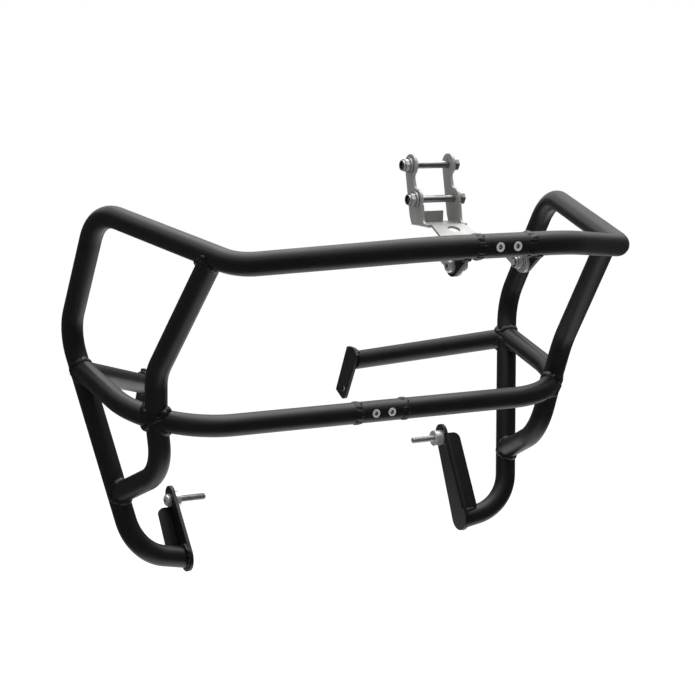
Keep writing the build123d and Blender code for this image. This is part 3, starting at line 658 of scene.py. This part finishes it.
def seamlessPaper():
    # white studio paper: dull, with a lift for the eye so that it meets the sky without a line
    # and keeps its shadow
    material, tree = blankMaterial("seamlessPaper")
    dull = addNode(tree, "ShaderNodeBsdfDiffuse", {"Color": hexToLinear(studio["paper"])})
    lift = addNode(tree, "ShaderNodeMath", {1: studio["paperLift"]}, {0: seenRays(tree)},
                   operation="MULTIPLY")
    glow = addNode(tree, "ShaderNodeEmission", links={"Strength": lift.outputs[0]})
    both = addNode(tree, "ShaderNodeAddShader", links={0: dull.outputs[0], 1: glow.outputs[0]})
    addNode(tree, "ShaderNodeOutputMaterial", links={"Surface": both.outputs[0]})
    return material


edge, level = studio["floorHalf"], studio["floorZ"]
floorMesh = bpy.data.meshes.new("studioFloor")
floorMesh.from_pydata([(x, y, level) for x, y in ((-edge, -edge), (edge, -edge), (edge, edge), (-edge, edge))],
                      [], [(0, 1, 2, 3)])
floorMesh.materials.append(seamlessPaper())
studioFloor = placeObject("studioFloor", floorMesh)


def blackMolton():
    # brushed cotton cloth, dyed: dull and even, with no glint of its own
    material, tree = blankMaterial("blackMolton")
    cloth = addNode(tree, "ShaderNodeBsdfDiffuse", {"Color": hexToLinear(curtain["cloth"])})
    addNode(tree, "ShaderNodeOutputMaterial", links={"Surface": cloth.outputs[0]})
    return material


def hangCurtain():
    # a band of cloth round the set, seen only in reflections: it keeps the fronts of the tubes dark
    points, faces = [], []
    columns, rows = curtain["columns"], curtain["rows"]
    for i in range(columns):
        turn = 2 * math.pi * i / columns
        left = max(0.0, -math.cos(turn))
        back = max(0.0, math.cos(turn - math.radians(curtain["backAtDeg"])))
        lowest = curtain["lowDeg"] + (curtain["leftLowDeg"] - curtain["lowDeg"]) * left
        lowest += (curtain["backLowDeg"] - curtain["lowDeg"]) * back
        highest = curtain["topDeg"] + (curtain["backTopDeg"] - curtain["topDeg"]) * back
        for j in range(rows + 1):
            rise = math.radians(lowest + (highest - lowest) * j / rows)
            spoke = Vector((math.cos(turn) * math.cos(rise), math.sin(turn) * math.cos(rise), math.sin(rise)))
            points.append(Vector(studio["aim"]) + spoke * curtain["radius"])
    for i in range(columns):
        here, after = i * (rows + 1), (i + 1) % columns * (rows + 1)
        faces += [(here + j, after + j, after + j + 1, here + j + 1) for j in range(rows)]
    mesh = bpy.data.meshes.new("blackCurtain")
    mesh.from_pydata(points, [], faces)
    mesh.materials.append(blackMolton())
    band = placeObject("blackCurtain", mesh)
    for ray in ("camera", "diffuse", "transmission", "volume_scatter", "shadow"):
        setattr(band, f"visible_{ray}", False)


hangCurtain()

world = bpy.data.worlds.new("studioSky")
bpy.context.scene.world = world
world.use_nodes = True
sky = world.node_tree
sky.nodes.clear()
dim, white = (addNode(sky, "ShaderNodeBackground", {"Color": hexToLinear(studio[tone]), "Strength": 1.0})
              for tone in ("skyLight", "sky"))
mixed = addNode(sky, "ShaderNodeMixShader", links={0: seenRays(sky), 1: dim.outputs[0], 2: white.outputs[0]})
addNode(sky, "ShaderNodeOutputWorld", links={"Surface": mixed.outputs[0]})

lamp = bpy.data.lights.new("topSoftBox", "AREA")
lamp.shape = "SQUARE"
lamp.size = studio["topSize"]
lamp.energy = studio["topPower"]
softBox = placeObject("topSoftBox", lamp)
softBox.location = studio["topAt"]
downward = Vector(studio["aim"]) - Vector(studio["topAt"])
softBox.rotation_euler = downward.to_track_quat("-Z", "Y").to_euler()

view = {
    "eye": (-999.1, -1519.2, 211.2),  # mm from the middle of the upper coupling
    "yawDeg": 28.384, "tiltDeg": 10.0, "rollDeg": 0.88,
    "focalPixels": 1786.2, "imageWide": 695, "sensorMm": 36.0, "clipEnd": 100.0,
}
lens = bpy.data.cameras.new("photoView")
lens.sensor_width = view["sensorMm"]
lens.lens = view["sensorMm"] * view["focalPixels"] / view["imageWide"]
lens.clip_end = view["clipEnd"]
camera = placeObject("photoView", lens)
yaw = Matrix.Rotation(math.radians(-view["yawDeg"]), 4, "Z")
tilt = Matrix.Rotation(math.radians(90 - view["tiltDeg"]), 4, "X")
roll = Matrix.Rotation(math.radians(view["rollDeg"]), 4, "Z")
eye = Matrix.Translation(Vector((np.array(view["eye"]) + couplingCentre) * mm))
camera.matrix_world = eye @ yaw @ tilt @ roll
bpy.context.scene.camera = camera
bpy.context.scene.view_settings.view_transform = "Standard"
print("studio and camera placed")
